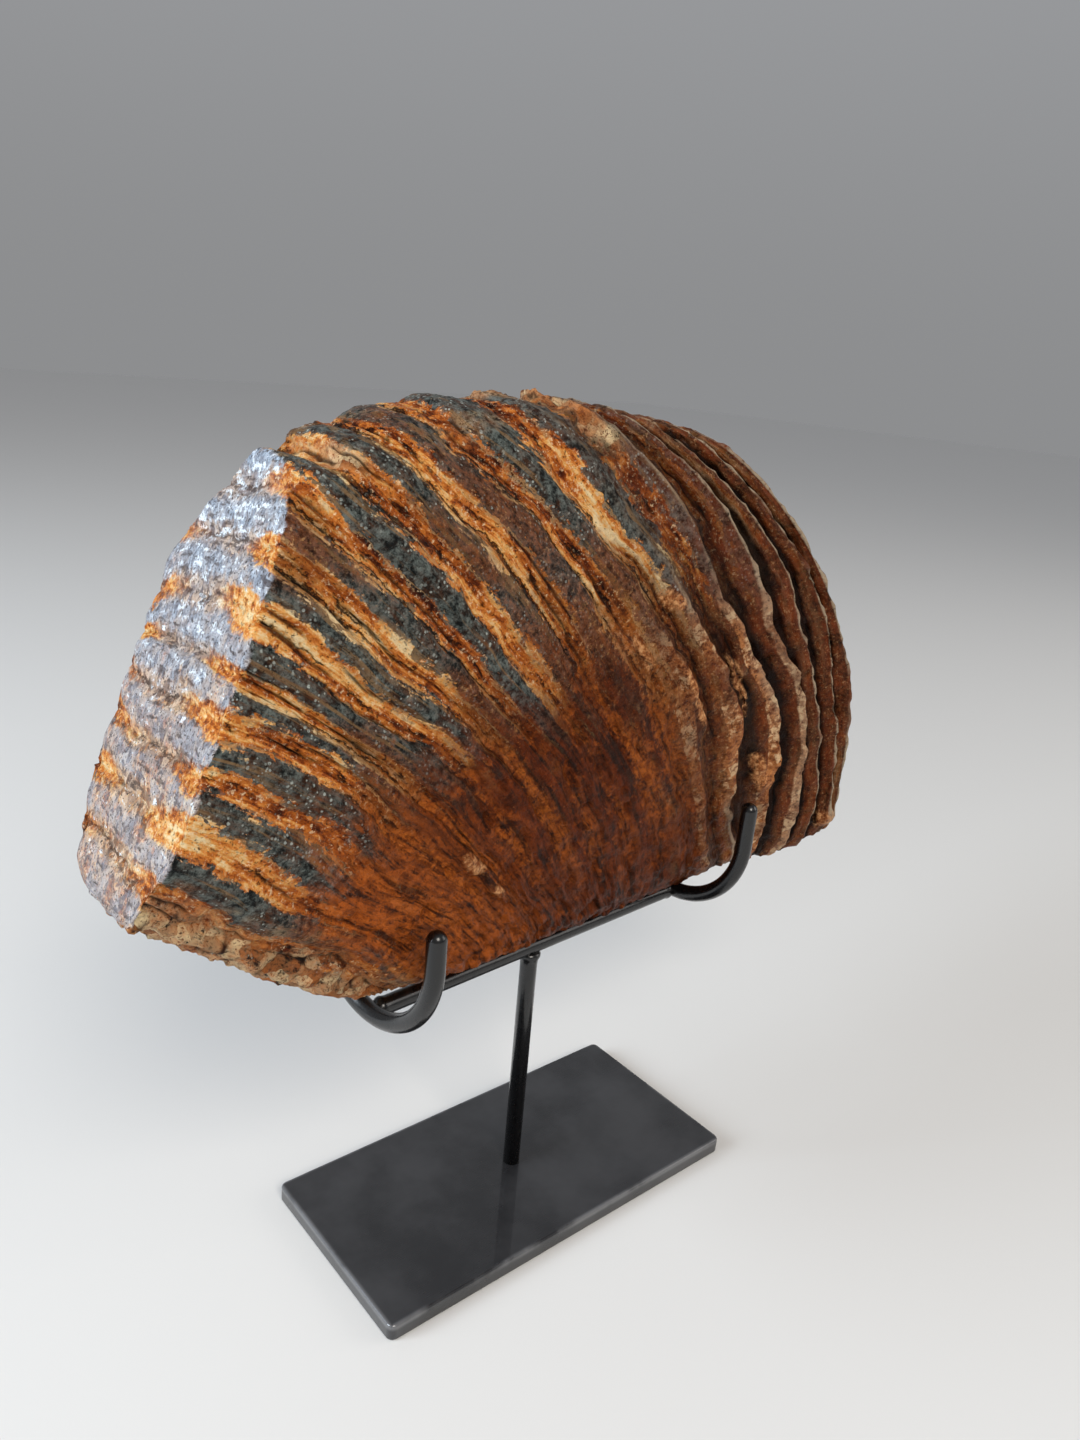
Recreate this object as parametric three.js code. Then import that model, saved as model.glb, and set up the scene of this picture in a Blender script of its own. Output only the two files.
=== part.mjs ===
// Fossil mammoth molar resting in a black steel display stand.
// Millimetres, +Z up. The origin is the centre of the base plate's underside, X runs along the
// plate's long side and the tooth's plain side faces -Y.
import * as THREE from 'three';
import { mergeVertices } from 'three/addons/utils/BufferGeometryUtils.js';

// Stand: a flat bar plate, a round post, and a crossbar with a U-shaped hook at each end.
const PLATE_LENGTH = 150;
const PLATE_WIDTH = 73;
const PLATE_THICKNESS = 6;
const PLATE_CORNER = 2.5;
const PLATE_EDGE = 0.8;
const ROD_RADIUS = 3;
const BAR_HEIGHT = 96.3;
const LEFT_HOOK_X = -66;
const RIGHT_HOOK_X = 75;
const HOOK_BEND = 29.6;
const LEFT_HOOK_ARM = 9;
const RIGHT_HOOK_ARM = 14;
const CRADLE_TURN = THREE.MathUtils.degToRad(3.5);
const GAP = 0.3;

// Tooth: hard plates glued side by side with cement, fanned out in side view from the roots on
// the crossbar to the crown line, and ground flat on the left where it chewed. The plates' places
// are shares of the fan, from the worn left end to the unworn right end.
const PLATE_PLACES = [
  0, 0.05, 0.106, 0.156, 0.207, 0.241, 0.304, 0.356, 0.408,
  0.465, 0.538, 0.625, 0.705, 0.785, 0.852, 0.91, 0.96, 1,
];
const ROOT_LEFT = -70;
const ROOT_RIGHT = 153;
const ROOT_HEIGHT = BAR_HEIGHT + ROD_RADIUS + GAP;
const ROOT_END_RISE = 7;
const ROOT_CROWDING = 0.8;
const CROWN_LINE = [[-162, 177], [-142, 262], [-92, 291], [42, 269]];
const FIRST_PLATE_BOW = 0;
const PLATE_BOW = 9;
const LAST_PLATE_BOW = 19;
const ROOT_HALF_THICKNESS = 25;
const MIDDLE_HALF_THICKNESS = 34;
const TOP_HALF_THICKNESS = 32;
const SLIM_BELOW = 120;
const FULL_FROM = 195;
const FULL_TO = 215;
const TOP_HEIGHT = 275;
const LEFT_END_TAPER = 0.7;
const RIGHT_END_TAPER = 0.88;
const ROOT_ROUNDNESS = 2;
const LAST_ROOT_ROUNDNESS = 5;
const CROWN_ROUNDNESS = 2.8;
const FACET_ROUNDNESS = 6;
const END_BULGE = 6;
const FACET = { point: [-118, 0, 225], normal: [-0.916, 0.15, 0.37] };
const BACK_CORNER = { point: [-106, -11, 271], normal: [-0.264, 0.604, 0.753] };
const RIDGE_HEIGHT = 1.3;
const LAST_RIDGE_HEIGHT = 3;
const CEMENT_COVER = 0.8;
const WAVY_LINE = 0.1;
const LAST_WAVY_LINE = 0.22;
const WAVES_ALONG_PLATE = 11;
const WAVES_ACROSS_PLATES = 17;

// Mesh steps of the tooth: around its section, along each plate's thickness and in each end, and
// how much closer the steps lie on its two sides.
const STEPS_AROUND = 36;
const STEPS_PER_PLATE = 5;
const STEPS_PER_END = 5;
const SIDE_CROWDING = 0.15;

const { smoothstep, lerp } = THREE.MathUtils;

function blackPaint() {
  return new THREE.MeshStandardMaterial({ color: 0x14151a, roughness: 0.35, metalness: 0.0 });
}

function namedMesh(name, geometry, material) {
  const mesh = new THREE.Mesh(geometry, material);
  mesh.name = name;
  return mesh;
}

// The base plate is a rectangle of flat bar with slightly rounded corners and softened edges.
function basePlate() {
  const inset = PLATE_EDGE;
  const halfLength = PLATE_LENGTH / 2 - inset;
  const halfWidth = PLATE_WIDTH / 2 - inset;
  const round = PLATE_CORNER - inset;
  const outline = new THREE.Shape();
  outline.moveTo(-halfLength + round, -halfWidth);
  outline.lineTo(halfLength - round, -halfWidth);
  outline.absarc(halfLength - round, -halfWidth + round, round, -Math.PI / 2, 0);
  outline.lineTo(halfLength, halfWidth - round);
  outline.absarc(halfLength - round, halfWidth - round, round, 0, Math.PI / 2);
  outline.lineTo(-halfLength + round, halfWidth);
  outline.absarc(-halfLength + round, halfWidth - round, round, Math.PI / 2, Math.PI);
  outline.lineTo(-halfLength, -halfWidth + round);
  outline.absarc(-halfLength + round, -halfWidth + round, round, Math.PI, Math.PI * 1.5);
  const geometry = new THREE.ExtrudeGeometry(outline, {
    depth: PLATE_THICKNESS - 2 * PLATE_EDGE,
    bevelEnabled: true,
    bevelThickness: PLATE_EDGE,
    bevelSize: PLATE_EDGE,
    bevelSegments: 2,
    curveSegments: 4,
  });
  geometry.translate(0, 0, PLATE_EDGE);
  return namedMesh('base_plate', geometry, blackPaint());
}

// The post is a round rod from the plate up to the underside of the crossbar.
function post() {
  const bottom = PLATE_THICKNESS + GAP;
  const top = BAR_HEIGHT - ROD_RADIUS - GAP;
  const geometry = new THREE.CylinderGeometry(ROD_RADIUS, ROD_RADIUS, top - bottom, 16);
  geometry.rotateX(Math.PI / 2);
  geometry.translate(0, 0, (top + bottom) / 2);
  return namedMesh('post', geometry, blackPaint());
}

// The crossbar is a level round rod that runs from one hook to the other under the tooth.
function crossbar() {
  const left = LEFT_HOOK_X + ROD_RADIUS + GAP;
  const right = RIGHT_HOOK_X - ROD_RADIUS - GAP;
  const geometry = new THREE.CylinderGeometry(ROD_RADIUS, ROD_RADIUS, right - left, 16);
  geometry.rotateZ(Math.PI / 2);
  geometry.translate((left + right) / 2, 0, BAR_HEIGHT);
  return namedMesh('crossbar', geometry, blackPaint());
}

// A hook is a round-nosed rod bent to a U across the crossbar: half a circle and two short arms.
function hook(name, x, arm) {
  const quarter = HOOK_BEND * Math.PI / 2;
  const geometry = new THREE.CapsuleGeometry(ROD_RADIUS, 2 * (quarter + arm), 3, 12, 24);
  const position = geometry.attributes.position;
  for (let i = 0; i < position.count; i += 1) {
    const along = position.getY(i);
    const side = position.getX(i);
    const inward = position.getZ(i);
    const onBend = THREE.MathUtils.clamp(along, -quarter, quarter);
    const angle = onBend / HOOK_BEND;
    const radius = HOOK_BEND - inward;
    const past = Math.abs(along) - Math.abs(onBend);
    const y = radius * Math.sin(angle);
    const z = BAR_HEIGHT + HOOK_BEND - radius * Math.cos(angle) + past;
    position.setXYZ(i, x + side, y, z);
  }
  return namedMesh(name, geometry, blackPaint());
}

// Crown line of the tooth in side view, from the worn lower left over the top to the right.
const crownLine = new THREE.CubicBezierCurve(...CROWN_LINE.map(([x, z]) => new THREE.Vector2(x, z)));

// Line of one plate in side view: its root, the point that bends it and its tip on the crown.
function plateLine(fan) {
  const endness = Math.abs(2 * fan - 1) ** 6;
  const root = new THREE.Vector2(
    lerp(ROOT_LEFT, ROOT_RIGHT, fan ** ROOT_CROWDING),
    ROOT_HEIGHT + ROOT_END_RISE * endness,
  );
  const tip = crownLine.getPointAt(fan);
  const bow = lerp(FIRST_PLATE_BOW, PLATE_BOW, smoothstep(fan, 0, 0.2))
    + (LAST_PLATE_BOW - PLATE_BOW) * smoothstep(fan, 0.6, 0.95);
  const chord = tip.clone().sub(root).normalize();
  const outward = new THREE.Vector2(chord.y, -chord.x);
  const bend = root.clone().add(tip).multiplyScalar(0.5).addScaledVector(outward, 2 * bow);
  return { curve: new THREE.QuadraticBezierCurve(root, bend, tip), outward };
}

// Half thickness of the tooth at a height: slim in the hooks, full in the middle.
function halfThickness(z) {
  const full = lerp(ROOT_HALF_THICKNESS, MIDDLE_HALF_THICKNESS, smoothstep(z, SLIM_BELOW, FULL_FROM));
  return full - (MIDDLE_HALF_THICKNESS - TOP_HALF_THICKNESS) * smoothstep(z, FULL_TO, TOP_HEIGHT);
}

// Share of the half thickness that the plates keep towards the tooth's two ends.
function taper(fan) {
  const left = lerp(LEFT_END_TAPER, 1, smoothstep(fan, -0.03, 0.08));
  return left * lerp(1, RIGHT_END_TAPER, smoothstep(fan, 0.6, 1));
}

// Rings of the tooth between its two poles: a few per plate and a few in each rounded end.
const lastPlate = PLATE_PLACES.length - 1;
const ringCount = lastPlate * STEPS_PER_PLATE + 2 * STEPS_PER_END;

// Place of a ring of the tooth from one end (0) to the other (1): which plate and which share of
// the fan it lies at, how much of the plate's section it has and how far it bulges out of the end.
function ringAt(along) {
  const endShare = STEPS_PER_END / ringCount;
  const toEnd = Math.min(along, 1 - along);
  const angle = Math.min(toEnd / endShare, 1) * Math.PI / 2;
  const inward = THREE.MathUtils.clamp((along - endShare) / (1 - 2 * endShare), 0, 1);
  const plate = inward * lastPlate;
  const before = Math.min(Math.floor(plate), lastPlate - 1);
  const fan = lerp(PLATE_PLACES[before], PLATE_PLACES[before + 1], plate - before);
  const bulge = END_BULGE * Math.cos(angle) * Math.sign(along - 0.5);
  return { plate, fan, share: Math.sin(angle), bulge };
}

// Roundness of a plate's section: 2 is an ellipse, more is squarer. Roots are keel-shaped, the
// plates that end on the facet are square and the top is between.
function roundness(fan, up) {
  if (up < 0) {
    return lerp(ROOT_ROUNDNESS, LAST_ROOT_ROUNDNESS, smoothstep(fan, 0.7, 1));
  }
  return lerp(FACET_ROUNDNESS, CROWN_ROUNDNESS, smoothstep(fan, 0.4, 0.6));
}

// Worn flats of the tooth: the chewing facet and the corner above it at the back.
const flats = [FACET, BACK_CORNER].map(({ point, normal }) => (
  new THREE.Plane().setFromNormalAndCoplanarPoint(
    new THREE.Vector3(...normal).normalize(),
    new THREE.Vector3(...point),
  )
));

// Height of the ridges at a place on a plate: the plates' lines waver and their ridges are uneven,
// weak where cement covers the lower middle and strong at the unworn right end.
function ridgeAt(plate, fan, height) {
  const right = smoothstep(fan, 0.55, 0.85);
  const cement = (1 - smoothstep(height, 0.25, 0.6)) * (1 - right);
  const waver = lerp(WAVY_LINE, LAST_WAVY_LINE, right)
    * Math.sin(WAVES_ALONG_PLATE * height + WAVES_ACROSS_PLATES * fan);
  const line = plate + waver;
  const strength = 0.8 + 0.2 * Math.sin(2.4 * Math.round(line));
  const relief = lerp(RIDGE_HEIGHT, LAST_RIDGE_HEIGHT, right) * (1 - CEMENT_COVER * cement);
  return strength * relief * Math.cos(2 * Math.PI * line);
}

// Surface point of the tooth: on the section around a plate, raised by the plate's ridge and cut
// back along the plate to the worn flats.
function toothPoint(along, around) {
  const { plate, fan, share, bulge } = ringAt(along);
  const turn = 2 * Math.PI * around;
  const angle = turn + SIDE_CROWDING * Math.sin(2 * turn);
  const up = -Math.cos(angle);
  const side = -Math.sin(angle);
  const power = roundness(fan, up);
  const square = (Math.abs(up) ** power + Math.abs(side) ** power) ** (-1 / power);
  const { curve, outward } = plateLine(fan);
  const height = 0.5 + 0.5 * share * square * up;
  const spot = curve.getPoint(height).addScaledVector(outward, bulge);
  const lean = curve.getTangent(height);
  const ridge = share * ridgeAt(plate, fan, height);
  const thickness = halfThickness(spot.y) * taper(fan) + ridge;
  const rise = ridge * smoothstep(up, 0.3, 0.9);
  const point = new THREE.Vector3(
    spot.x + lean.x * rise,
    thickness * share * square * side,
    spot.y + lean.y * rise,
  );
  const direction = new THREE.Vector3(lean.x, 0, lean.y);
  for (const flat of flats) {
    const beyond = Math.max(0, flat.distanceToPoint(point));
    point.addScaledVector(direction, -beyond / flat.normal.dot(direction));
  }
  return point;
}

// The tooth is one closed skin, wrapped around the fan of plates from its left to its right end.
function tooth() {
  const geometry = new THREE.SphereGeometry(1, STEPS_AROUND, ringCount);
  const { position, uv } = geometry.attributes;
  for (let i = 0; i < position.count; i += 1) {
    const point = toothPoint(1 - uv.getY(i), uv.getX(i));
    position.setXYZ(i, point.x, point.y, point.z);
  }
  geometry.deleteAttribute('normal');
  geometry.deleteAttribute('uv');
  const skin = mergeVertices(geometry);
  skin.computeVertexNormals();
  const fossil = new THREE.MeshStandardMaterial({ color: 0x6b4a2f, roughness: 0.4, metalness: 0.0 });
  return namedMesh('tooth', skin, fossil);
}

const cradle = new THREE.Group();
cradle.rotation.z = CRADLE_TURN;
cradle.add(
  crossbar(),
  hook('left_hook', LEFT_HOOK_X, LEFT_HOOK_ARM),
  hook('right_hook', RIGHT_HOOK_X, RIGHT_HOOK_ARM),
  tooth(),
);

const fossilOnStand = new THREE.Group();
fossilOnStand.add(basePlate(), post(), cradle);

export default fossilOnStand;
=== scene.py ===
import math
from types import SimpleNamespace

import bmesh
import bpy
import numpy as np
from mathutils import Matrix, Vector, noise


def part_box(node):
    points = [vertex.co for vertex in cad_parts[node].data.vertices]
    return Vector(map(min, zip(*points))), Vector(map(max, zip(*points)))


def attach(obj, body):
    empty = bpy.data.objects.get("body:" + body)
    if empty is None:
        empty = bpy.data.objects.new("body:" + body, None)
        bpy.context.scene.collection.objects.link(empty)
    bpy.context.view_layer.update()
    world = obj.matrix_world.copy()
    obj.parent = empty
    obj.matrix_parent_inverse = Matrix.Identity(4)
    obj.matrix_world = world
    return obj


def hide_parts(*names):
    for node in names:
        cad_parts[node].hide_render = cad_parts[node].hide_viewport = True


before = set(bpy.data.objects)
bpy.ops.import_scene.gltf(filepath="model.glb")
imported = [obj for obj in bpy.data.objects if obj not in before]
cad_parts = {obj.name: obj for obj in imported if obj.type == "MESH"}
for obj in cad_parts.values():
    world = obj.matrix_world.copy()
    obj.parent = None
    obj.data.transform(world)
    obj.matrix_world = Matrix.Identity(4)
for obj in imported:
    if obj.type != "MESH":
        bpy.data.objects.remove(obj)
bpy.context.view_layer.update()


# Base plate: a rectangle cut from flat steel bar, with its corners and edges eased.
# It is painted satin black and waxed, so it mirrors the post softly, and has faint rub marks.
plate_low, plate_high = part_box("base_plate")
plate_corner = 0.0025
plate_edge = 0.0008


def colour(red, green, blue):
    """Linear colour of a paint swatch given in 0 to 255 screen values."""
    swatch = [value / 255 for value in (red, green, blue)]
    linear = [v / 12.92 if v <= 0.04045 else ((v + 0.055) / 1.055) ** 2.4 for v in swatch]
    return (*linear, 1.0)


def node(tree, kind, inputs, **settings):
    """Adds a shader node, sets it up and plugs values or other nodes' sockets into it."""
    made = tree.nodes.new(kind)
    for name, value in settings.items():
        setattr(made, name, value)
    for key, value in inputs.items():
        if isinstance(value, bpy.types.NodeSocket):
            tree.links.new(value, made.inputs[key])
        else:
            made.inputs[key].default_value = value
    return made


def math_node(tree, operation, *values):
    """Output of a maths node on one to three values."""
    return node(tree, "ShaderNodeMath", dict(enumerate(values)), operation=operation).outputs[0]


def fade(tree, value, low, high):
    """Soft step of a value from 0 at low to 1 at high."""
    inputs = {"Value": value, "From Min": low, "From Max": high}
    return node(tree, "ShaderNodeMapRange", inputs, interpolation_type="SMOOTHSTEP").outputs[0]


def mottle(tree, vector, scale, detail=3.0, roughness=0.6):
    """Cloudy noise from 0 to 1 on a vector, with about scale lumps in each unit of length."""
    inputs = {"Vector": vector, "Scale": scale, "Detail": detail, "Roughness": roughness}
    return node(tree, "ShaderNodeTexNoise", inputs).outputs["Fac"]


def stretched(tree, vector, scales):
    """A vector with each of its axes scaled by its own number."""
    return node(tree, "ShaderNodeVectorMath", {0: vector, 1: scales}, operation="MULTIPLY").outputs[0]


def mixed(tree, factor, first, second):
    """Colour mixed from first to second by a factor."""
    inputs = {0: factor, 6: first, 7: second}
    return node(tree, "ShaderNodeMix", inputs, data_type="RGBA").outputs[2]


def new_finish(name):
    """A new material, its node tree and its surface shader."""
    material = bpy.data.materials.new(name)
    material.use_nodes = True
    return material, material.node_tree, material.node_tree.nodes["Principled BSDF"]


def plate_paint():
    """Satin black paint with cloudy wax, fine rub marks along the plate and paler worn edges."""
    material, tree, surface = new_finish("plate_paint")
    place = node(tree, "ShaderNodeTexCoord", {}).outputs["Object"]
    clouds = mottle(tree, place, 28.0, 4.0)
    rubs = mottle(tree, stretched(tree, place, (60.0, 900.0, 900.0)), 1.0, 2.0)
    paint = mixed(tree, fade(tree, clouds, 0.3, 0.75), colour(32, 32, 34), colour(60, 60, 62))
    spot = node(tree, "ShaderNodeSeparateXYZ", {"Vector": place}).outputs
    half = (plate_high - plate_low) / 2
    past = [math_node(tree, "SUBTRACT", math_node(tree, "ABSOLUTE", spot[k]), half[k]) for k in (0, 1)]
    rim = fade(tree, math_node(tree, "MAXIMUM", *past), -2 * plate_edge, -0.5 * plate_edge)
    top = fade(tree, spot[2], plate_high.z - 3 * plate_edge, plate_high.z - plate_edge)
    top_rim = math_node(tree, "MULTIPLY", rim, top)
    worn = math_node(tree, "MULTIPLY", top_rim, fade(tree, clouds, 0.40, 0.56))
    shade = mixed(tree, worn, paint, colour(104, 104, 106))
    tree.links.new(shade, surface.inputs["Base Color"])
    surface.inputs["Metallic"].default_value = 0.25
    surface.inputs["Coat Weight"].default_value = 0.6
    surface.inputs["Coat Roughness"].default_value = 0.04
    gloss = math_node(tree, "MULTIPLY_ADD", clouds, 0.22, 0.14)
    tree.links.new(math_node(tree, "MULTIPLY_ADD", rubs, 0.08, gloss), surface.inputs["Roughness"])
    bump = node(tree, "ShaderNodeBump", {"Height": rubs, "Strength": 0.06, "Distance": 0.0003})
    tree.links.new(bump.outputs["Normal"], surface.inputs["Normal"])
    return material


def new_piece(name, shape, material):
    """Object made from a finished bmesh, smooth all over, with its material."""
    mesh = bpy.data.meshes.new(name)
    shape.to_mesh(mesh)
    shape.free()
    mesh.polygons.foreach_set("use_smooth", [True] * len(mesh.polygons))
    mesh.materials.append(material)
    piece = bpy.data.objects.new(name, mesh)
    bpy.context.collection.objects.link(piece)
    return piece


shape = bmesh.new()
bmesh.ops.create_cube(shape, size=1.0)
bmesh.ops.scale(shape, vec=plate_high - plate_low, verts=shape.verts)
bmesh.ops.translate(shape, vec=(plate_low + plate_high) / 2, verts=shape.verts)
upright = [e for e in shape.edges if abs(e.verts[0].co.z - e.verts[1].co.z) > plate_edge]
bmesh.ops.bevel(
    shape, geom=upright, offset=plate_corner, offset_type="OFFSET", segments=6,
    profile=0.5, affect="EDGES", material=-1,
)
shape.normal_update()
rims = [e for e in shape.edges if sum(abs(f.normal.z) > 0.9 for f in e.link_faces) == 1]
bmesh.ops.bevel(
    shape, geom=rims, offset=plate_edge, offset_type="OFFSET", segments=3,
    profile=0.5, affect="EDGES", material=-1,
)
base_plate = new_piece("steel_base_plate", shape, plate_paint())
base_plate.modifiers.new("even_shading", "WEIGHTED_NORMAL")
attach(base_plate, "root")
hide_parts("base_plate")


# Post: round steel bar standing in the middle of the plate, plug-welded from below.
# A small bead of weld holds its top end under the crossbar, and it is sprayed gloss black.
rod_radius = 0.003
post_bottom = plate_high.z
post_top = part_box("crossbar")[0].z + rod_radius * 0.4


def rod_paint():
    """Gloss black sprayed paint with orange peel, dust in the gloss and grey rubbed spots."""
    material, tree, surface = new_finish("rod_paint")
    place = node(tree, "ShaderNodeTexCoord", {}).outputs["Object"]
    dust = mottle(tree, place, 160.0, 4.0)
    peel = mottle(tree, place, 700.0, 1.0)
    rubbed = fade(tree, mottle(tree, place, 60.0, 5.0, 0.7), 0.6, 0.72)
    paint = mixed(tree, rubbed, colour(11, 11, 12), colour(38, 37, 37))
    tree.links.new(paint, surface.inputs["Base Color"])
    surface.inputs["Metallic"].default_value = 0.2
    surface.inputs["Coat Weight"].default_value = 0.35
    surface.inputs["Coat Roughness"].default_value = 0.08
    tree.links.new(math_node(tree, "MULTIPLY_ADD", dust, 0.3, 0.12), surface.inputs["Roughness"])
    bump = node(tree, "ShaderNodeBump", {"Height": peel, "Strength": 0.12, "Distance": 0.0002})
    tree.links.new(bump.outputs["Normal"], surface.inputs["Normal"])
    return material


def turned_rod(profile, steps=32):
    """Bar spun about Z from a profile of (radius, height) points that starts and ends on Z."""
    bar = bmesh.new()
    corners = [bar.verts.new((radius, 0.0, height)) for radius, height in profile]
    edges = [bar.edges.new(pair) for pair in zip(corners, corners[1:])]
    bmesh.ops.spin(
        bar, geom=corners + edges, cent=(0, 0, 0), axis=(0, 0, 1), angle=2 * math.pi,
        steps=steps, use_merge=True,
    )
    bmesh.ops.remove_doubles(bar, verts=bar.verts, dist=1e-6)
    bmesh.ops.recalc_face_normals(bar, faces=bar.faces)
    return bar


gloss_black = rod_paint()
bead = [(1, 0.0058), (1.04, 0.0040), (1.16, 0.0026), (1.28, 0.0018), (1.28, 0.0008), (1, 0), (0, 0)]
post_profile = [(0, post_bottom), (rod_radius, post_bottom)]
post_profile += [(size * rod_radius, post_top - drop) for size, drop in bead]
post = new_piece("steel_post", turned_rod(post_profile), gloss_black)
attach(post, "root")
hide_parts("post")


# Crossbar: level round bar under the tooth, welded to a hook at each end.
# The cradle stands a few degrees off square to the plate, as hand-welded stands do.
cradle_turn = Matrix.Rotation(math.radians(3.5), 3, "Z")
bar_height = 0.0963
left_hook_x = -0.066
right_hook_x = 0.075
bar_left = left_hook_x + rod_radius * 0.5
bar_right = right_hook_x - rod_radius * 0.5
weld = [
    (0, 0), (0.6, 0), (0.85, 0.0008), (1.08, 0.0018), (1.13, 0.0026), (1.05, 0.0036), (1, 0.0046),
]
bar_profile = [(size * rod_radius, bar_left + reach) for size, reach in weld]
bar_profile += [(size * rod_radius, bar_right - reach) for size, reach in reversed(weld)]
shape = turned_rod(bar_profile)
bmesh.ops.rotate(shape, cent=(0, 0, 0), matrix=Matrix.Rotation(math.pi / 2, 3, "Y"), verts=shape.verts)
bmesh.ops.translate(shape, vec=(0, 0, bar_height), verts=shape.verts)
bmesh.ops.rotate(shape, cent=(0, 0, 0), matrix=cradle_turn, verts=shape.verts)
crossbar = new_piece("steel_crossbar", shape, gloss_black)
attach(crossbar, "root")
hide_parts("crossbar")


# Hooks: round bar bent hot to a U and rounded at both tips, one across each end of the crossbar.
# The tooth lies in the two hooks with nothing to fasten it.
hook_bend = 0.0296
hook_arms = {"left_hook": 0.009, "right_hook": 0.014}
hook_places = {"left_hook": left_hook_x, "right_hook": right_hook_x}
bend_steps = 48
nose_steps = 8


def extend(bar, rim, move, size=1.0):
    """Extrudes an open rim of edges by a move, scales the new rim and returns its edges."""
    made = bmesh.ops.extrude_edge_only(bar, edges=rim)["geom"]
    corners = [g for g in made if isinstance(g, bmesh.types.BMVert)]
    bmesh.ops.translate(bar, vec=move, verts=corners)
    middle = sum((v.co for v in corners), Vector()) / len(corners)
    bmesh.ops.scale(bar, vec=(size, size, 1), space=Matrix.Translation(-middle), verts=corners)
    return [g for g in made if isinstance(g, bmesh.types.BMEdge)]


def round_nose(bar, rim):
    """Closes an open rim that faces up with a half ball."""
    for step in range(nose_steps):
        start, end = (math.pi / 2 * s / nose_steps for s in (step, step + 1))
        rise = rod_radius * (math.sin(end) - math.sin(start))
        rim = extend(bar, rim, (0, 0, rise), max(math.cos(end), 0.01) / max(math.cos(start), 0.01))
    bmesh.ops.edgeloop_fill(bar, edges=rim)


for name, arm in hook_arms.items():
    bar = bmesh.new()
    ring = bmesh.ops.create_circle(bar, segments=24, radius=rod_radius)["verts"]
    bmesh.ops.translate(bar, vec=(0, -hook_bend, 0), verts=ring)
    front_rim = list(bar.edges)
    bend = bmesh.ops.spin(
        bar, geom=front_rim, cent=(0, 0, 0), axis=(1, 0, 0), angle=math.pi,
        steps=bend_steps, use_merge=False,
    )
    back_rim = [g for g in bend["geom_last"] if isinstance(g, bmesh.types.BMEdge)]
    front_rim = [e for e in bar.edges if e.is_boundary and e not in back_rim]
    for rim in (front_rim, back_rim):
        round_nose(bar, extend(bar, rim, (0, 0, arm)))
    bmesh.ops.recalc_face_normals(bar, faces=bar.faces)
    bmesh.ops.translate(bar, vec=(hook_places[name], 0, bar_height + hook_bend), verts=bar.verts)
    bmesh.ops.rotate(bar, cent=(0, 0, 0), matrix=cradle_turn, verts=bar.verts)
    hook = new_piece("steel_" + name, bar, gloss_black)
    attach(hook, "root")
    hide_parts(name)


# Tooth: one mammoth molar, eighteen hard plates grown side by side with cement between them,
# turned to stone. The chewing end is ground flat, the unworn end keeps deep ridges, and the
# sides are polished and varnished.
plate_places = [
    0, 0.05, 0.106, 0.156, 0.207, 0.241, 0.304, 0.356, 0.408,
    0.465, 0.538, 0.625, 0.705, 0.785, 0.852, 0.91, 0.96, 1,
]
root_left, root_right = -0.070, 0.153
rest_gap = 0.0003
root_height = bar_height + rod_radius + rest_gap
root_end_rise = 0.007
root_crowding = 0.8
crown_line = np.array([[-0.162, 0.177], [-0.142, 0.262], [-0.092, 0.291], [0.042, 0.269]])
first_plate_bow, plate_bow, last_plate_bow = 0.0, 0.009, 0.019
root_half, middle_half, top_half = 0.025, 0.034, 0.032
widening_bottom, widening_top = 0.120, 0.195
shoulder_bottom, shoulder_top = 0.215, 0.275
first_plate_width, last_plate_width = 0.7, 0.88
end_bulge = 0.006
ridge_height, last_ridge_height = 0.0013, 0.0042
plate_pitch, plate_length, crown_length = 0.012, 0.16, 0.28
facet = (Vector((-0.118, 0, 0.225)), Vector((-0.916, 0.15, 0.37)).normalized())
back_corner = (Vector((-0.106, -0.011, 0.271)), Vector((-0.264, 0.604, 0.753)).normalized())
facet_border, worn_rim = (-0.030, -0.004), (-0.0012, 0.0024)
steps_around, steps_along = 216, 456
end_share = 0.04

# Sizes of the lumps in the fine relief, and how high or deep each kind of relief is.
drift_size, rough_size, streak_size, gap_size = 0.026, 0.0065, 0.0024, 0.011
crumb_size, end_face_size, pit_size = 0.0055, 0.009, 0.006
side_rough, cement_rough, unworn_rough, covered_rough = 0.0004, 0.0007, 0.0008, 0.0004
side_streak, covered_streak, crack_depth = 0.00035, 0.0003, 0.0010
crumb_height, end_face_height, pit_depth = 0.0022, 0.0018, 0.0012
facet_ridge, facet_seam = 0.0003, 0.0004

# Lumps and pits on the near side: share of the fan, height, half width, half length and rise.
knobs = [
    (0.591, 0.59, 0.0040, 0.0065, 0.0020), (0.767, 0.975, 0.0065, 0.0075, 0.0026),
    (0.445, 0.980, 0.0035, 0.0035, 0.0016), (0.439, 1.0, 0.0035, 0.0035, -0.0030),
    (0.742, 0.47, 0.0030, 0.0120, 0.0018), (0.684, 0.67, 0.0050, 0.0045, 0.0014),
    (0.642, 0.48, 0.0030, 0.0150, 0.0018), (0.757, 0.27, 0.0045, 0.0080, 0.0022),
    (0.205, 0.28, 0.0028, 0.0045, 0.0014), (0.204, 0.38, 0.0035, 0.0080, 0.0014),
    (0.129, 0.34, 0.0022, 0.0022, -0.0016), (0.956, 0.07, 0.0042, 0.0045, 0.0026),
]


def smoothstep(value, low, high):
    """Soft step of an array from 0 at low to 1 at high."""
    share = np.clip((value - low) / (high - low), 0, 1)
    return share * share * (3 - 2 * share)


def between(first, second, share):
    """Straight mix of two values."""
    return first + (second - first) * share


def hump(value, middle, width):
    """Bell curve of an array around its middle."""
    return np.exp(-(((value - middle) / width) ** 2))


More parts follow.
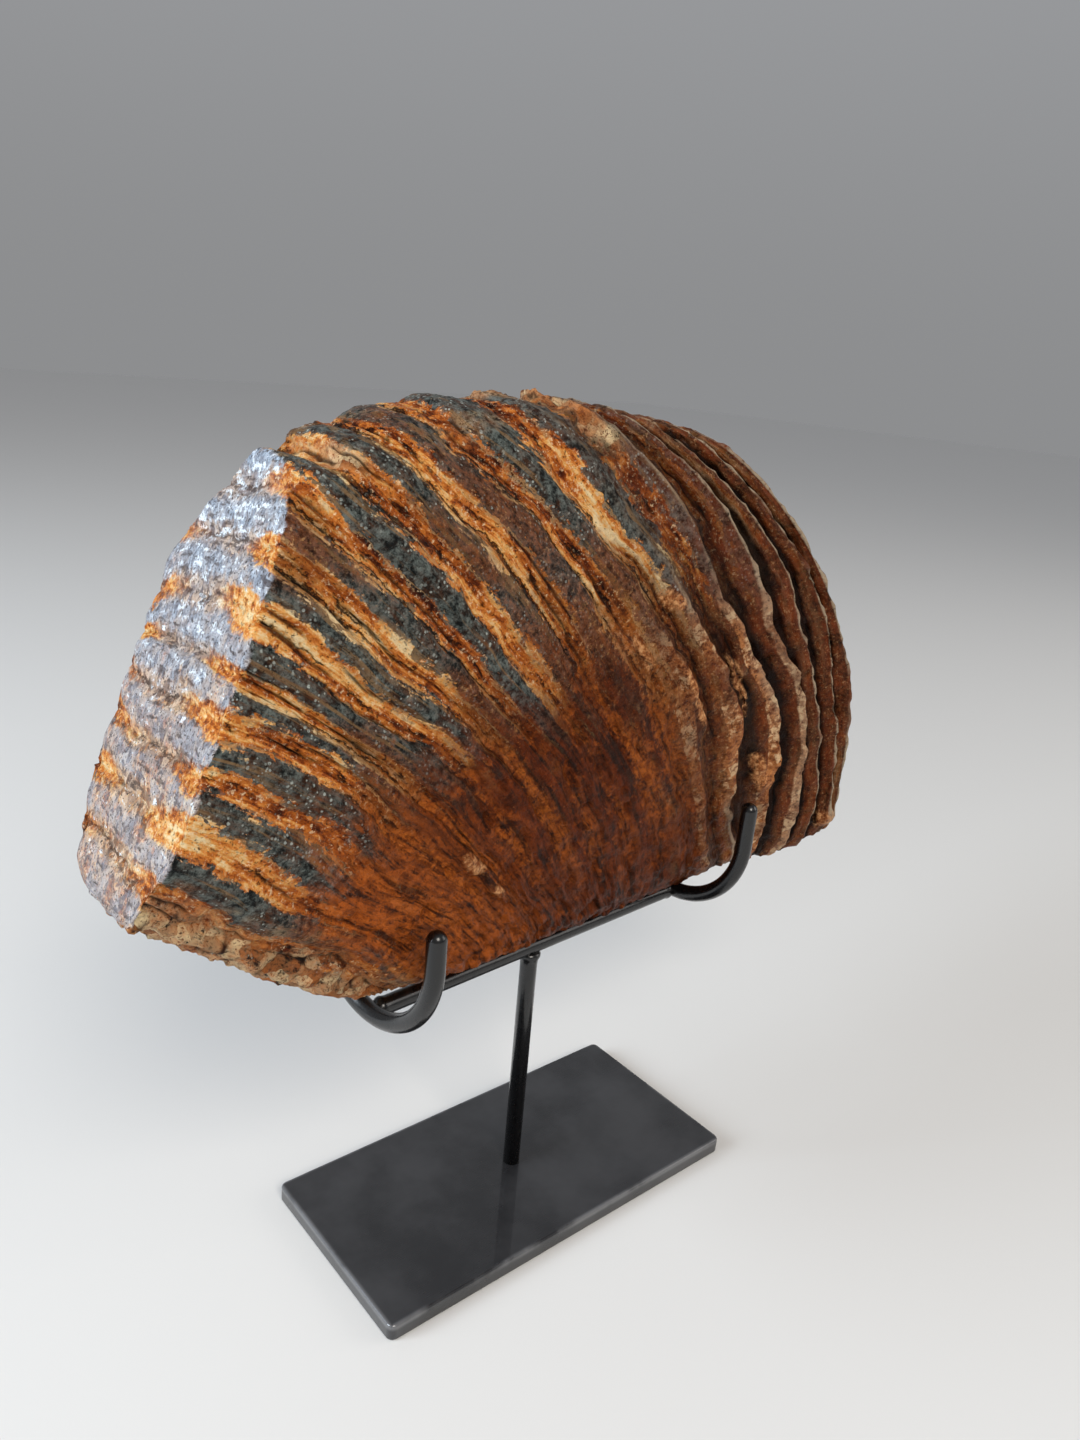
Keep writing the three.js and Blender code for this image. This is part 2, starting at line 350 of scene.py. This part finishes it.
def crown_points(fan):
    """Points of the crown line at shares of its length."""
    t = np.linspace(0, 1, 401)[:, None]
    a, b, c, d = crown_line
    line = (1 - t) ** 3 * a + 3 * t * (1 - t) ** 2 * b + 3 * t * t * (1 - t) * c + t ** 3 * d
    length = np.concatenate([[0], np.cumsum(np.linalg.norm(np.diff(line, axis=0), axis=1))])
    return np.stack([np.interp(fan * length[-1], length, line[:, k]) for k in (0, 1)], axis=1)


def plate_lines(fan):
    """Roots, bends, tips and outward directions of the plates' lines in side view."""
    endness = np.abs(2 * fan - 1) ** 6
    root = np.stack([
        between(root_left, root_right, fan ** root_crowding),
        root_height + root_end_rise * endness,
    ], axis=1)
    tip = crown_points(fan)
    bow = between(first_plate_bow, plate_bow, smoothstep(fan, 0, 0.2))
    bow = bow + (last_plate_bow - plate_bow) * smoothstep(fan, 0.6, 0.95)
    chord = tip - root
    chord /= np.linalg.norm(chord, axis=1)[:, None]
    outward = np.stack([chord[:, 1], -chord[:, 0]], axis=1)
    bend = (root + tip) / 2 + outward * 2 * bow[:, None]
    return root, bend, tip, outward


def lumps(points, size, octaves=1, shift=0.0):
    """Noise of about -1 to 1 with lumps of a size at points, moved by a shift to other lumps."""
    return np.array([noise.fractal(Vector(p), 0.9, 2.1, octaves) for p in (points + shift) / size])


def move_to(shape, places):
    """Puts the vertices of a bmesh at an array of places."""
    for vert, place in zip(shape.verts, places):
        vert.co = place
    shape.normal_update()


shape = bmesh.new()
bmesh.ops.create_uvsphere(shape, u_segments=steps_around, v_segments=steps_along, radius=1.0)
ball = np.array([v.co for v in shape.verts])
along = np.arccos(np.clip(ball[:, 2], -1, 1)) / math.pi
around = np.arctan2(ball[:, 1], ball[:, 0])
number = np.clip((along - end_share) / (1 - 2 * end_share), 0, 1) * (len(plate_places) - 1)
fan = np.interp(number, np.arange(len(plate_places)), plate_places)
end_angle = np.clip(np.minimum(along, 1 - along) / end_share, 0, 1) * math.pi / 2
share = np.sin(end_angle)
bulge = end_bulge * np.cos(end_angle) * np.sign(along - 0.5)

# Section around each plate: keel-shaped root, square where the facet cuts it, rounder on top.
angle = around + 0.15 * np.sin(2 * around)
up, side = -np.cos(angle), -np.sin(angle)
power = np.where(
    up < 0,
    between(2.0, 5.0, smoothstep(fan, 0.7, 1)),
    between(6.0, 2.8, smoothstep(fan, 0.4, 0.6)),
)
square = (np.abs(up) ** power + np.abs(side) ** power) ** (-1 / power)
height = 0.5 + 0.5 * share * square * up
unworn = smoothstep(fan - 0.15 * smoothstep(height, 0.45, 0.9), 0.49, 0.79)
root, bend, tip, outward = plate_lines(fan)
h = height[:, None]
spot = (1 - h) ** 2 * root + 2 * h * (1 - h) * bend + h * h * tip + outward * bulge[:, None]
lean = (1 - h) * (bend - root) + h * (tip - bend)
lean /= np.linalg.norm(lean, axis=1)[:, None]
half = between(root_half, middle_half, smoothstep(spot[:, 1], widening_bottom, widening_top))
half = half - (middle_half - top_half) * smoothstep(spot[:, 1], shoulder_bottom, shoulder_top)
half = half * between(first_plate_width, 1, smoothstep(fan, -0.03, 0.08))
half = half * between(1, last_plate_width, smoothstep(fan, 0.6, 1))
plain = np.stack([spot[:, 0], half * share * square * side, spot[:, 1]], axis=1)

# Ridges of the plates: wavering and uneven, but steady at the last plate. At the unworn end each
# is a broad face that ends in a sharp lip over a deep groove. Over the two end faces the count of
# plates steps back by up to a fifth, so that each keeps one even face.
drift = lumps(plain, drift_size, 2)
waver = between(0.1, 0.22, unworn) * np.sin(11 * height + 17 * fan)
steady = smoothstep(len(plate_places) - 1 - number, 0.0, 0.8)
plate = number + steady * share * (waver + between(0.14, 0.24, unworn) * drift)
plate = plate - np.minimum(0.2, 0.5 * np.sqrt(np.maximum(1 - share, 0))) * np.sign(along - 0.5)
covered = (1 - smoothstep(height, 0.40, 0.82)) * (1 - unworn) * smoothstep(fan, 0.0, 0.10)
strength = 0.8 + 0.2 * np.sin(2.4 * np.round(plate))
turn = plate - np.floor(plate)
lip = np.where(
    turn < 0.3,
    1 - 2 * np.sin(np.clip(turn / 0.3, 0, 1) * math.pi / 2),
    2 * np.clip((turn - 0.3) / 0.7, 0, 1) ** 0.8 - 1,
)
profile = between(np.cos(2 * math.pi * plate), lip, unworn)
past_facet = (plain - np.array(facet[0])) @ np.array(facet[1])
near_facet = smoothstep(past_facet, *facet_border)
relief = between(ridge_height, last_ridge_height, unworn)
relief = relief * (1 - 0.7 * covered) * (1 - 0.5 * near_facet)
ridge = share * strength * relief * profile
rise = ridge * smoothstep(up, 0.3, 0.9)
points = np.stack([
    spot[:, 0] + lean[:, 0] * rise,
    (half + ridge) * share * square * side,
    spot[:, 1] + lean[:, 1] * rise,
], axis=1)

# Worn flats: points beyond the facet or the back corner slide back along their plates.
slide = np.stack([lean[:, 0], np.zeros(len(lean)), lean[:, 1]], axis=1)
ground = np.zeros(len(points))
for spot_on_flat, normal in (facet, back_corner):
    beyond = (points - spot_on_flat) @ np.array(normal)
    points -= slide * (np.maximum(beyond, 0) / (slide @ np.array(normal)))[:, None]
    ground = np.maximum(ground, smoothstep(beyond, *worn_rim))

# Fine relief: rough cement with crevices along it, crumbly edges, lumps, pits, and low ridges
# across the facet.
grain = np.stack([plate * plate_pitch, height * plate_length, points[:, 1]], axis=1)
rough = lumps(points, rough_size, 4)
streaks = lumps(grain * np.array([1.0, 0.22, 0.6]), streak_size, 3)
gap_grain = grain * np.array([0.7, 0.32, 0.7])
gaps = [lumps(gap_grain, gap_size, 2, shift) for shift in (5.0, 7.3, 9.1)]
offset = plate + 0.05 * streaks
signed = offset - np.round(offset)
across = np.abs(signed)
cement = smoothstep(across, 0.24, 0.34)
crack = np.maximum.reduce([
    hump(across, 0.5, 0.045) * smoothstep(gaps[0], -0.15, 0.2),
    hump(signed, 0.29, 0.04) * smoothstep(gaps[1], -0.05, 0.25),
    hump(signed, -0.29, 0.04) * smoothstep(gaps[2], 0.05, 0.3) * (1 - unworn),
]) * (1 - ground) * (1 - 0.6 * covered)
first_plate = 1 - smoothstep(fan + 0.02 * rough, 0.0, 0.05)
crown = smoothstep(up, 0.75, 0.97) * smoothstep(share, 0.6, 0.95)
crumbly = np.maximum(first_plate, crown * smoothstep(drift, 0.0, 0.4) * 0.8) * (1 - ground)
lumpy = np.zeros(len(points))
fine = np.zeros(len(points))
for spot_fan, spot_height, half_width, half_length, lift in knobs:
    aside = (fan - spot_fan) * crown_length / half_width
    above = (height - spot_height) * plate_length / half_length
    bell = np.exp(-(aside ** 2 + above ** 2) ** 1.5) * (side < 0.25)
    fine = fine + lift * bell * (1 + 0.5 * rough)
    lumpy = np.maximum(lumpy, bell * (lift > 0))
    crumbly = np.maximum(crumbly, bell * (lift > 0) * (spot_height > 0.9))
roughness = side_rough + cement_rough * cement + unworn_rough * unworn + covered_rough * covered
fine = fine + roughness * rough * (1 - 0.5 * ground)
fine = fine + (side_streak + covered_streak * covered) * streaks * (1 - ground)
fine = fine - crack_depth * crack
fine = fine + crumb_height * crumbly * lumps(points, crumb_size, 3, shift=0.7)
end_face = smoothstep(along, 1 - 0.85 * end_share, 1 - 0.55 * end_share)
end_grain = points * np.array([0.6, 1.0, 0.3])
fine = fine + end_face_height * end_face * lumps(end_grain, end_face_size, 3, shift=3.1)
pits = smoothstep(lumps(points, pit_size, shift=1.9), 0.42, 0.62)
fine = fine - pit_depth * pits * covered
facet_waves = facet_ridge * np.cos(2 * math.pi * plate) - facet_seam * hump(across, 0.5, 0.07)
fine = fine + ground * facet_waves

# The tooth turns with its cradle, and the fine relief rises square to its skin.
points = points @ np.array(cradle_turn).T
move_to(shape, points)
normals = np.array([v.normal for v in shape.verts])
move_to(shape, points + normals * (fine * between(0.6, 1, share))[:, None])


def granules(tree, vector, scale):
    """Random shade of each grain in a packed mass of grains, and the way out from its middle."""
    cells = node(tree, "ShaderNodeTexVoronoi", {"Vector": vector, "Scale": scale}).outputs
    shades = node(tree, "ShaderNodeSeparateColor", {"Color": cells["Color"]}).outputs
    return shades["Red"], cells["Distance"]


def weighted(tree, *shares):
    """Sum of values, each times its weight."""
    total = 0.0
    for value, weight in shares:
        total = math_node(tree, "MULTIPLY_ADD", value, weight, total)
    return total


def product(tree, *values):
    """Product of one or more values."""
    total = values[0]
    for value in values[1:]:
        total = math_node(tree, "MULTIPLY", total, value)
    return total


def laid(tree, body, paint, *shares):
    """A paint laid over a body colour by a share, or by the product of a few shares."""
    return mixed(tree, product(tree, *shares), body, paint)


def distance(tree, value, target):
    """How far a value is from a target, on either side."""
    return math_node(tree, "ABSOLUTE", math_node(tree, "SUBTRACT", value, target))


def rock_features(tree):
    """Marks on the tooth's mesh, and noises along its plates and through its mass, by name."""
    rock = SimpleNamespace()
    for name in ("plate", "ground", "covered", "unworn", "crumbly", "crack", "knobs", "edge"):
        setattr(rock, name, node(tree, "ShaderNodeAttribute", {}, attribute_name=name).outputs["Fac"])
    place = node(tree, "ShaderNodeTexCoord", {}).outputs["Object"]
    along = node(tree, "ShaderNodeAttribute", {}, attribute_name="grain").outputs["Vector"]
    rock.rise = node(tree, "ShaderNodeSeparateXYZ", {"Vector": along}).outputs["Y"]

    # Noises drawn out along the plates, then noises through the mass, then some as soft steps.
    rock.lines = mottle(tree, stretched(tree, along, (520.0, 26.0, 130.0)), 1.0, 3.0)
    rock.fibres = mottle(tree, stretched(tree, along, (900.0, 170.0, 450.0)), 1.0, 5.0, 0.7)
    rock.wander = mottle(tree, stretched(tree, along, (75.0, 40.0, 60.0)), 1.0, 4.0)
    rock.patches = mottle(tree, stretched(tree, along, (70.0, 16.0, 22.0)), 1.0, 2.0)
    rock.runs = mottle(tree, stretched(tree, along, (45.0, 11.0, 16.0)), 1.0, 1.0)
    rock.clouds = mottle(tree, place, 110.0, 4.0, 0.65)
    rock.grains = mottle(tree, place, 430.0, 5.0, 0.75)
    rock.sand = mottle(tree, place, 800.0, 3.0, 0.75)
    rock.speckle = mottle(tree, place, 1300.0, 2.0, 0.8)
    rock.line_step = fade(tree, rock.lines, 0.36, 0.64)
    rock.fibre_step = fade(tree, rock.fibres, 0.32, 0.68)
    rock.grain_step = fade(tree, rock.grains, 0.32, 0.68)
    rock.cloud_step = fade(tree, rock.clouds, 0.36, 0.64)
    rock.patch_step = fade(tree, rock.patches, 0.34, 0.66)

    # Packed grains: ragged crumbs along the plates, rounder chunks, and small pale ones in clusters,
    # which also serve as painted glints.
    shake = node(tree, "ShaderNodeTexNoise", {"Vector": place, "Scale": 300.0, "Detail": 2.0})
    shake = stretched(tree, shake.outputs["Color"], (0.003, 0.003, 0.003))
    shaken = node(tree, "ShaderNodeVectorMath", {0: along, 1: shake}, operation="ADD").outputs[0]
    rock.crumb, rock.crumb_edge = granules(tree, stretched(tree, shaken, (1.0, 0.42, 0.8)), 560.0)
    rock.chunk, rock.chunk_edge = granules(tree, place, 210.0)
    glint, glint_edge = granules(tree, place, 1150.0)
    dots = fade(tree, weighted(tree, (glint, 1.3), (glint_edge, -1.0)), 0.64, 0.86)
    rock.sparkle = product(tree, dots, fade(tree, rock.clouds, 0.40, 0.62))

    # Place within a plate and its cement, 0 in the plate's middle, and how far outside the plate.
    fuzz = weighted(
        tree, (rock.plate, 1.0), (rock.fibres, 0.34), (rock.grains, 0.28), (rock.wander, 0.42),
        (rock.lines, 0.20),
    )
    signed_place = math_node(tree, "WRAP", math_node(tree, "SUBTRACT", fuzz, 0.62), 0.5, -0.5)
    rock.from_middle = math_node(tree, "ABSOLUTE", signed_place)
    near_root = fade(tree, rock.rise, 0.09, 0.03)
    half_plate = weighted(tree, (rock.patch_step, -0.14), (near_root, -0.15))
    half_plate = math_node(tree, "ADD", half_plate, 0.32)
    rock.outside = math_node(tree, "SUBTRACT", rock.from_middle, half_plate)
    hair = distance(tree, signed_place, weighted(tree, (rock.wander, 0.50), (rock.fibres, 0.12)))
    hair = product(tree, fade(tree, hair, 0.030, 0.008), fade(tree, rock.runs, 0.47, 0.54))
    split = product(tree, fade(tree, rock.from_middle, 0.455, 0.485), fade(tree, rock.clouds, 0.50, 0.40))
    rock.split = math_node(tree, "MAXIMUM", hair, split)
    return rock


def plate_stone(tree, rock):
    """Petrol-grey stone of the plates, with brown lines, stains, and clusters of pale grains that double
    as painted glints.
    """
    stone = mixed(tree, fade(tree, rock.grains, 0.38, 0.66), colour(16, 20, 20), colour(106, 114, 110))
    stone = laid(tree, stone, colour(134, 106, 74), fade(tree, rock.lines, 0.52, 0.64), 0.8)
    stone = laid(tree, stone, colour(88, 50, 26), rock.cloud_step, rock.fibre_step, 0.7)
    # Pale grain clusters: partly the stone's own pale grains, partly painted glints of the varnish.
    stone = laid(tree, stone, colour(170, 178, 172), rock.sparkle, 0.8)
    dark_specks = fade(tree, rock.speckle, 0.44, 0.34)
    dark_fibres = fade(tree, rock.fibres, 0.44, 0.32)
    dark = weighted(tree, (dark_specks, 0.6), (dark_fibres, 0.6))
    return laid(tree, stone, colour(7, 8, 8), dark)


def cement_grains(tree, rock):
    """Cement between the plates: rust, orange, amber and cream grains in streaks."""
    heat = weighted(
        tree, (rock.crumb, 0.16), (rock.fibre_step, 0.22), (rock.line_step, 0.22),
        (rock.patch_step, 0.26), (rock.grain_step, 0.14),
    )
    ramp = node(tree, "ShaderNodeValToRGB", {"Fac": heat})
    swatches = [
        (0.15, colour(36, 14, 7)), (0.29, colour(92, 38, 13)), (0.42, colour(156, 78, 26)),
        (0.54, colour(202, 120, 50)), (0.65, colour(222, 164, 92)), (0.80, colour(230, 206, 160)),
    ]
    stops = ramp.color_ramp.elements
    for _ in swatches[2:]:
        stops.new(0.5)
    for stop, (position, swatch) in zip(stops, swatches):
        stop.position = position
        stop.color = swatch
    cement = ramp.outputs["Color"]
    cement = laid(tree, cement, colour(46, 18, 8), fade(tree, rock.sand, 0.43, 0.33), 0.85)
    return laid(tree, cement, colour(232, 204, 164), fade(tree, rock.sand, 0.55, 0.68), 0.8)


def banded_side(tree, rock, cement):
    """Dark plates and cement side by side, with umber stains, tan lines and black splits."""
    ragged = weighted(tree, (rock.outside, 1.0), (rock.crumb, 0.14), (rock.sand, 0.24))
    body = mixed(tree, fade(tree, ragged, 0.16, 0.23), plate_stone(tree, rock), cement)
    shade = weighted(tree, (rock.fibre_step, 0.4), (rock.grain_step, 0.6))
    umber = mixed(tree, shade, colour(22, 9, 4), colour(142, 74, 28))
    umber = laid(tree, umber, colour(16, 8, 5), fade(tree, rock.sand, 0.44, 0.34), 0.8)
    umber = laid(tree, umber, colour(196, 146, 94), fade(tree, rock.sand, 0.56, 0.68), 0.7)
    low_down = fade(tree, rock.rise, 0.140, 0.065)
    stained = weighted(
        tree, (rock.runs, 1.0), (rock.grains, 0.35), (rock.wander, 0.30), (low_down, 0.24),
    )
    body = laid(tree, body, umber, fade(tree, stained, 0.89, 1.03), 0.72)
    border = fade(tree, distance(tree, rock.outside, 0.03), 0.032, 0.008)
    body = laid(tree, body, colour(172, 134, 90), border, fade(tree, rock.wander, 0.42, 0.58), 0.75)
    return laid(tree, body, colour(14, 7, 4), rock.split, 0.9)


def rust_cover(tree, rock, body):
    """Rust-brown cement with tan flecks over the lower middle, in which the plates fade out, its swatches
    kept dark partly as painted shade.
    """
    mix = weighted(tree, (rock.crumb, 0.35), (rock.grain_step, 0.35), (rock.line_step, 0.30))
    # The rust swatches are darkened partly as painted shade on the lower side of the tooth, which faces
    # away from the light.
    rust = mixed(tree, mix, colour(26, 7, 1), colour(112, 44, 5))
    orange = mixed(tree, mix, colour(58, 20, 5), colour(190, 96, 32))
    rust = laid(tree, rust, orange, fade(tree, rock.plate, 6.5, 1.5))
    streak = weighted(tree, (rock.outside, 1.0), (rock.runs, 1.2), (rock.grains, 0.5))
    off_root = fade(tree, rock.rise, 0.016, 0.070)
    warm = mixed(tree, rock.grain_step, colour(100, 38, 8), colour(198, 108, 38))
    rust = laid(tree, rust, warm, fade(tree, streak, 0.98, 1.22), off_root, 0.62)
    shadow = weighted(tree, (rock.outside, -1.0), (rock.runs, 1.0), (rock.grains, 0.5))
    rust = laid(tree, rust, colour(22, 13, 10), fade(tree, shadow, 0.98, 1.16), 0.5)
    rust = laid(tree, rust, colour(24, 9, 4), fade(tree, rock.fibres, 0.48, 0.34), 0.8)
    rust = laid(tree, rust, colour(18, 6, 2), fade(tree, rock.lines, 0.45, 0.36), 0.7)
    flecks = product(tree, fade(tree, rock.clouds, 0.48, 0.62), fade(tree, rock.crumb, 0.45, 0.85))
    rust = laid(tree, rust, colour(158, 78, 24), flecks, rock.grain_step, 0.7)
    rust = laid(tree, rust, colour(30, 11, 4), fade(tree, rock.sand, 0.42, 0.32), 0.7)
    rust = laid(tree, rust, colour(158, 92, 48), fade(tree, rock.speckle, 0.64, 0.76))
    veil = weighted(
        tree, (rock.covered, 1.0), (rock.clouds, 0.9), (rock.fibres, 0.5), (rock.lines, 0.6),
    )
    return laid(tree, body, rust, fade(tree, veil, 1.20, 1.90), 0.96)


def unworn_faces(tree, rock, body, tan):
    """Unworn end: red-brown faces that rise to pale or tan lips, with painted shade in the nearly black
    grooves below them.
    """
    brown = mixed(tree, rock.grain_step, colour(26, 11, 6), colour(118, 62, 32))
    brown = laid(tree, brown, colour(124, 54, 22), rock.cloud_step, 0.7)
    brown = laid(tree, brown, colour(60, 46, 36), rock.line_step, 0.3)
    brown = laid(tree, brown, colour(186, 140, 98), fade(tree, rock.sand, 0.56, 0.68), 0.5)
    body = laid(tree, body, brown, rock.unworn, 0.85)

    # Place within a ridge, 0 at its lip. The lip is broad on the lower parts of some plates.
    lip_place = weighted(tree, (rock.plate, 1.0), (rock.grains, 0.06))
    lip_place = math_node(tree, "WRAP", lip_place, 0.78, -0.22)
    # Painted shade: each groove behind a lip, where the next face lies out of the light, is painted
    # nearly black.
    groove_shade = product(tree, fade(tree, lip_place, 0.04, 0.11), fade(tree, lip_place, 0.76, 0.50))
    body = laid(tree, body, colour(11, 6, 4), groove_shade, rock.unworn, 0.93)
    broad = product(
        tree, fade(tree, rock.runs, 0.40, 0.52), fade(tree, rock.rise, 0.120, 0.090),
        fade(tree, rock.plate, 15.0, 13.0),
    )
    inner = math_node(tree, "MULTIPLY_ADD", broad, 0.20, lip_place)
    lip = product(tree, fade(tree, inner, -0.05, 0.0), fade(tree, lip_place, 0.08, 0.04), rock.unworn)
    lip = product(tree, lip, fade(tree, rock.wander, 0.34, 0.52), fade(tree, rock.grains, 0.32, 0.48))
    creamy = fade(tree, weighted(tree, (rock.chunk, 0.4), (rock.grains, 1.2)), 0.82, 1.02)
    cream = mixed(tree, creamy, tan, colour(232, 196, 152))
    pale = mixed(tree, broad, colour(170, 152, 128), cream)
    return laid(tree, body, pale, lip, 0.9)


def lumps_and_crumbs(tree, rock, body, tan):
    """Tan lumps, cream and rust crumbs along the edges, and cracks darkened nearly black as painted
    shade.
    """
    lump = weighted(tree, (rock.knobs, 1.0), (rock.grains, 1.2), (rock.clouds, 0.8))
    light = laid(tree, tan, colour(230, 176, 124), fade(tree, rock.grains, 0.46, 0.66), 0.8)
    body = laid(tree, body, light, fade(tree, lump, 1.35, 1.95), 0.8)
    cream = mixed(tree, rock.chunk, colour(130, 74, 34), colour(224, 200, 156))
    cream = laid(tree, cream, colour(84, 50, 28), fade(tree, rock.speckle, 0.46, 0.34))
    orange = mixed(tree, rock.grain_step, colour(112, 48, 16), colour(196, 112, 50))
    cream = laid(tree, cream, orange, rock.cloud_step, 0.65)
    cream = laid(tree, cream, colour(48, 24, 12), fade(tree, rock.chunk_edge, 0.66, 0.90))
    body = laid(tree, body, cream, rock.crumbly, fade(tree, rock.grains, 0.34, 0.48))
    # Painted shade: the deep crevices along the cement are painted nearly black.
    return laid(tree, body, colour(12, 6, 4), fade(tree, rock.crack, 0.3, 0.9), 0.8)


def ground_facet(tree, rock, body, cement):
    """Ground facet: bluish grains partly painted as a reflection of cool light, pinkish grains, painted
    white highlights, thin wavy seams, rust tongues from its edges.
    """
    # The bluish-white of these grains is partly painted reflection of the cool light on the polished
    # facet.
    pale = mixed(tree, rock.grain_step, colour(100, 113, 130), colour(194, 211, 230))
    dull = mixed(tree, rock.crumb, colour(116, 84, 62), colour(222, 192, 164))
    low_end = fade(tree, rock.plate, 9.0, 1.0)
    off_plate = fade(tree, rock.outside, -0.1, 0.1)
    dullness = weighted(tree, (off_plate, 0.45), (rock.cloud_step, 0.25), (low_end, 0.45))
    pale = laid(tree, pale, dull, dullness)
    stain = weighted(tree, (rock.grains, 1.0), (rock.clouds, 0.5), (low_end, 0.16))
    pale = laid(tree, pale, cement, fade(tree, stain, 0.88, 1.02), 0.55)
    # Painted highlights: white-blue dashes along the fine lines.
    white_highlight = weighted(tree, (rock.lines, 0.7), (rock.grains, 0.6), (low_end, -0.08))
    pale = laid(tree, pale, colour(232, 240, 248), fade(tree, white_highlight, 0.66, 0.76))
    pale = laid(tree, pale, colour(66, 52, 48), fade(tree, rock.lines, 0.43, 0.34), 0.7)
    pale = laid(tree, pale, colour(64, 56, 54), fade(tree, rock.speckle, 0.45, 0.36))
    seam = product(tree, fade(tree, rock.from_middle, 0.44, 0.48), fade(tree, rock.wander, 0.40, 0.52))
    pale = laid(tree, pale, colour(62, 42, 32), seam, 0.75)
    narrow = fade(tree, weighted(tree, (rock.outside, 1.0), (rock.edge, 0.22)), 0.17, 0.27)
    length = weighted(
        tree, (rock.edge, 0.9), (rock.patch_step, 0.35), (rock.grains, 0.6), (rock.lines, 0.4),
    )
    pale = laid(tree, pale, cement, narrow, fade(tree, length, 1.05, 1.5))
    flat = weighted(tree, (rock.ground, 1.0), (rock.grains, 0.5), (rock.clouds, 0.3))
    return laid(tree, body, pale, fade(tree, flat, 0.65, 1.0))


def fossil_finish():
    """Banded fossil under a thin varnish: each colour is laid over the one before."""
    material, tree, surface = new_finish("banded_fossil")
    rock = rock_features(tree)
    cement = cement_grains(tree, rock)
    tan = mixed(tree, rock.grain_step, colour(110, 48, 20), colour(204, 136, 80))
    tan = laid(tree, tan, colour(60, 26, 12), fade(tree, rock.sand, 0.44, 0.34))
    body = banded_side(tree, rock, cement)
    body = rust_cover(tree, rock, body)
    body = unworn_faces(tree, rock, body, tan)
    body = lumps_and_crumbs(tree, rock, body, tan)
    body = ground_facet(tree, rock, body, cement)
    tree.links.new(body, surface.inputs["Base Color"])

    gloss = weighted(tree, (rock.speckle, 0.5), (rock.crumbly, 0.2))
    tree.links.new(math_node(tree, "ADD", gloss, 0.14), surface.inputs["Roughness"])
    surface.inputs["Specular IOR Level"].default_value = 0.04
    surface.inputs["Coat Weight"].default_value = 0.05
    surface.inputs["Coat Roughness"].default_value = 0.12
    grit = weighted(
        tree, (rock.fibres, 0.7), (rock.speckle, 0.5), (rock.grains, 1.0), (rock.crumb_edge, -0.25),
        (rock.split, -0.6),
    )
    bump = node(tree, "ShaderNodeBump", {"Height": grit, "Strength": 0.8, "Distance": 0.0014})
    tree.links.new(bump.outputs["Normal"], surface.inputs["Normal"])
    return material


# Marks that the finish reads: edge grows towards the facet's near and far edges.
tooth = new_piece("mammoth_tooth", shape, fossil_finish())
near_edge = smoothstep(plain[:, 1], 0.012, -0.030)
far_edge = 0.85 * smoothstep(plain[:, 1], -0.004, 0.032)
marks = {
    "plate": plate, "ground": ground, "covered": covered, "unworn": unworn, "crumbly": crumbly,
    "crack": crack, "knobs": lumpy, "edge": np.maximum(near_edge, far_edge),
}
for name, values in marks.items():
    tooth.data.attributes.new(name, "FLOAT", "POINT").data.foreach_set("value", values)
tooth.data.attributes.new("grain", "FLOAT_VECTOR", "POINT").data.foreach_set("vector", grain.ravel())
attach(tooth, "root")
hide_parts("tooth")


# Studio: a plain pale floor under soft light, warm from the front and cool from the left.
# The camera stands where the photograph was taken from, close by and a little above.
floor_size = 12.0
floor_shape = bmesh.new()
bmesh.ops.create_grid(floor_shape, x_segments=1, y_segments=1, size=floor_size / 2)
floor_finish, _, floor_surface = new_finish("pale_floor")
floor_surface.inputs["Base Color"].default_value = colour(222, 221, 219)
floor_surface.inputs["Roughness"].default_value = 0.7
floor = new_piece("floor", floor_shape, floor_finish)

world = bpy.data.worlds.new("studio")
world.use_nodes = True
sky_tree = world.node_tree
facing = node(sky_tree, "ShaderNodeTexCoord", {}).outputs["Generated"]
upward = node(sky_tree, "ShaderNodeSeparateXYZ", {"Vector": facing}).outputs["Z"]
sky = mixed(sky_tree, fade(sky_tree, upward, 0.0, 0.5), colour(185, 186, 188), colour(206, 208, 212))
sky_tree.links.new(sky, sky_tree.nodes["Background"].inputs["Color"])
sky_tree.nodes["Background"].inputs["Strength"].default_value = 0.55
bpy.context.scene.world = world
bpy.context.scene.view_settings.view_transform = "Standard"

# Lamps aimed at the tooth: place, size, power and tint.
tooth_middle = Vector((0, 0, 0.19))
lamps = {
    "front_key": ((-0.5, -1.5, 1.5), 0.9, 26.0, (1.0, 0.93, 0.84)),
    "cool_left": ((-1.5, 0.35, 0.8), 0.9, 30.0, (0.80, 0.90, 1.0)),
    "right_fill": ((1.4, -0.9, 0.8), 0.9, 6.0, (1.0, 0.95, 0.9)),
}
for name, (lamp_place, size, power_watts, tint) in lamps.items():
    lamp = bpy.data.lights.new(name, "AREA")
    lamp.size = size
    lamp.energy = power_watts
    lamp.color = tint
    stand = bpy.data.objects.new(name, lamp)
    stand.location = lamp_place
    stand.rotation_euler = (tooth_middle - stand.location).to_track_quat("-Z", "Y").to_euler()
    bpy.context.collection.objects.link(stand)

# Camera: turned, dipped and rolled by these degrees.
camera_turn, camera_dip, camera_roll = -41.16, 18.61, 4.94
camera_data = bpy.data.cameras.new("camera")
camera_data.lens = 26.94
camera = bpy.data.objects.new("camera", camera_data)
camera.location = (-0.2170, -0.2432, 0.2877)
aim = Matrix.Rotation(math.radians(camera_turn), 3, "Z")
tilt = Matrix.Rotation(math.radians(90 - camera_dip), 3, "X")
roll = Matrix.Rotation(math.radians(camera_roll), 3, "Z")
camera.rotation_euler = (aim @ tilt @ roll).to_euler()
bpy.context.collection.objects.link(camera)
bpy.context.scene.camera = camera
